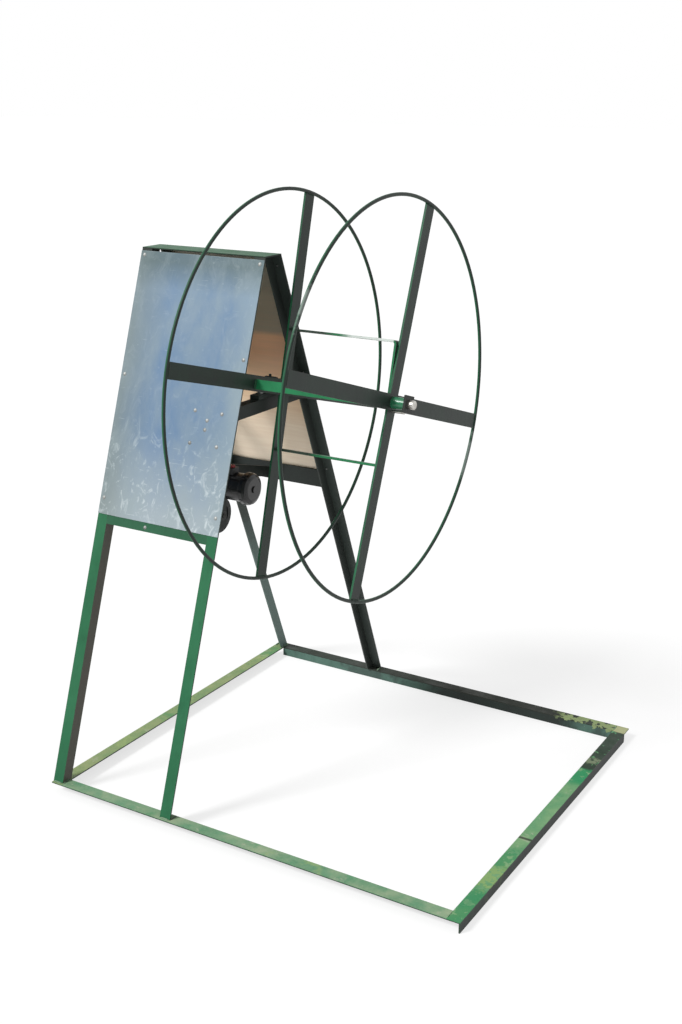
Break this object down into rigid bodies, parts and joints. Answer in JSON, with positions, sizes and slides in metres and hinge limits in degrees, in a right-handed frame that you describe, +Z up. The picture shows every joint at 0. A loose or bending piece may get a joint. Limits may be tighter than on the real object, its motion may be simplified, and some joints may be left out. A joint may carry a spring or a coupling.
{
  "type": "rope winder",
  "caption": "Motor-driven rope winder: tapering welded tower with a belt drive, open two-hoop reel on a through shaft and a removable outer hoop.",
  "frame": {"origin": "on the floor under the middle of the base frame", "axes": "+Z up, +X along the reel shaft towards the open end of the reel, -Y towards the metal cover"},
  "size_m": [1.05, 0.956, 1.3535],
  "materials": {
    "base_paint": "dusty green paint with wear",
    "leg_paint": "green gloss paint with scuffs",
    "cap_paint": "dusty green paint",
    "bar_paint": "green paint",
    "inner_paint": "dark green paint",
    "zinc_sheet": "scuffed zinc-coated sheet",
    "bright_bolt": "bright plated steel",
    "ply_panel": "plain board, unpainted",
    "black_plastic": "satin black",
    "red_plastic": "glossy red",
    "motor_paint": "black paint",
    "bush_bronze": "oiled bronze",
    "housing_iron": "dark green painted casting",
    "insert_steel": "ground steel",
    "belt_rubber": "black rubber",
    "bare_steel": "bare turned steel",
    "pulley_iron": "dark painted casting",
    "hoop_paint": "dark green paint worn at the edges",
    "core_paint": "green paint",
    "hub_paint": "green paint",
    "nut_steel": "dark steel"
  },
  "bodies": {
    "frame": {"rail_front": "base_paint", "rail_rear": "base_paint", "rail_far": "base_paint", "rail_near": "base_paint", "leg_far_front": "leg_paint", "leg_far_rear": "leg_paint", "leg_near_front": "leg_paint", "leg_near_rear": "leg_paint", "top_cap": "cap_paint", "crossbar_front": "bar_paint", "crossbar_rear": "inner_paint", "bearing_bar_far": "inner_paint", "bearing_bar_near": "inner_paint", "cover_sheet": "zinc_sheet", "cover_screws": "bright_bolt", "crossbar_bolt": "bright_bolt", "back_panel": "ply_panel", "panel_screws": "bright_bolt", "control_box": "black_plastic", "control_box_bolts": "bright_bolt", "motor_plate": "inner_paint", "motor_body": "motor_paint", "motor_end_cap": "motor_paint", "motor_bolts": "bright_bolt", "terminal_box": "black_plastic", "terminal_clip": "red_plastic", "counter_bush": "bush_bronze", "bearing_far_housing": "housing_iron", "bearing_far_insert": "insert_steel", "bearing_far_bolts": "bright_bolt", "bearing_near_housing": "housing_iron", "bearing_near_insert": "insert_steel", "bearing_near_bolts": "bright_bolt", "belt_motor": "belt_rubber", "belt_reel": "belt_rubber"},
    "reel": {"reel_shaft": "bare_steel", "reel_pulley": "pulley_iron", "hub_boss": "hub_paint", "inner_hoop": "hoop_paint", "inner_spokes": "hoop_paint", "core_frame_upright": "core_paint", "core_frame_level": "core_paint", "drive_pin": "bare_steel"},
    "outer_flange": {"outer_hoop": "hoop_paint", "outer_spokes": "hoop_paint", "hub_sleeve": "hub_paint"},
    "clamp": {"clamp_nut": "nut_steel"},
    "counter": {"counter_shaft": "bare_steel", "counter_pulley_big": "pulley_iron", "counter_pulley_small": "pulley_iron"},
    "rotor": {"motor_shaft": "bare_steel", "motor_pulley": "pulley_iron"}
  },
  "joints": [
    {"name": "reel_spin", "type": "hinge", "parent": "frame", "child": "reel", "pos_m": [-0.1595, -0.0385, 0.9145], "axis": [1, 0, 0], "continuous": true},
    {"name": "flange_slide", "type": "slide", "parent": "reel", "child": "outer_flange", "axis": [1, 0, 0], "range_m": [0, 0.12]},
    {"name": "nut_slide", "type": "slide", "parent": "reel", "child": "clamp", "axis": [1, 0, 0], "range_m": [0, 0.18]},
    {"name": "counter_spin", "type": "hinge", "parent": "frame", "child": "counter", "pos_m": [-0.385, -0.01, 0.57], "axis": [1, 0, 0], "continuous": true},
    {"name": "motor_spin", "type": "hinge", "parent": "frame", "child": "rotor", "pos_m": [-0.355, -0.039, 0.661], "axis": [1, 0, 0], "continuous": true}
  ],
  "couplings": [
    {"joint": "counter_spin", "follows": "reel_spin", "ratio": 4.2727},
    {"joint": "motor_spin", "follows": "reel_spin", "ratio": 9.0932},
    {"joint": "nut_slide", "follows": "flange_slide", "ratio": 1.5}
  ]
}
